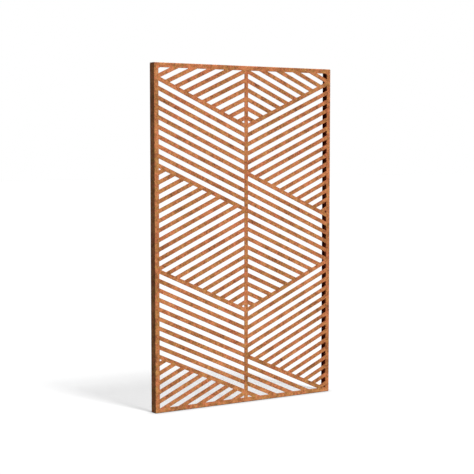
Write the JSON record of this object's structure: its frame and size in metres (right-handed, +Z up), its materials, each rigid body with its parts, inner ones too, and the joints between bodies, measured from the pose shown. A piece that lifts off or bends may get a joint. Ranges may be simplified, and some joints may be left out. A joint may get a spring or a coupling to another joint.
{
  "type": "corten steel screen panel",
  "caption": "Upright screen panel of rusted weathering steel, pierced with slanting slats that meet at a centre bar and folded back into a shallow tray, open behind, with a narrow lip along each side",
  "frame": {"origin": "at the mount post_fixings: on the bottom edge's level, midway between the two side returns and halfway along their depth, on the line on which the posts stand", "axes": "+Z up the panel, -Y out of the pierced front face, +X to the right as seen from the front"},
  "size_m": [1.12, 0.05, 1.83],
  "materials": {
    "weathering_steel": "matte"
  },
  "bodies": {
    "root": {"screen_panel": "weathering_steel"}
  },
  "joints": []
}
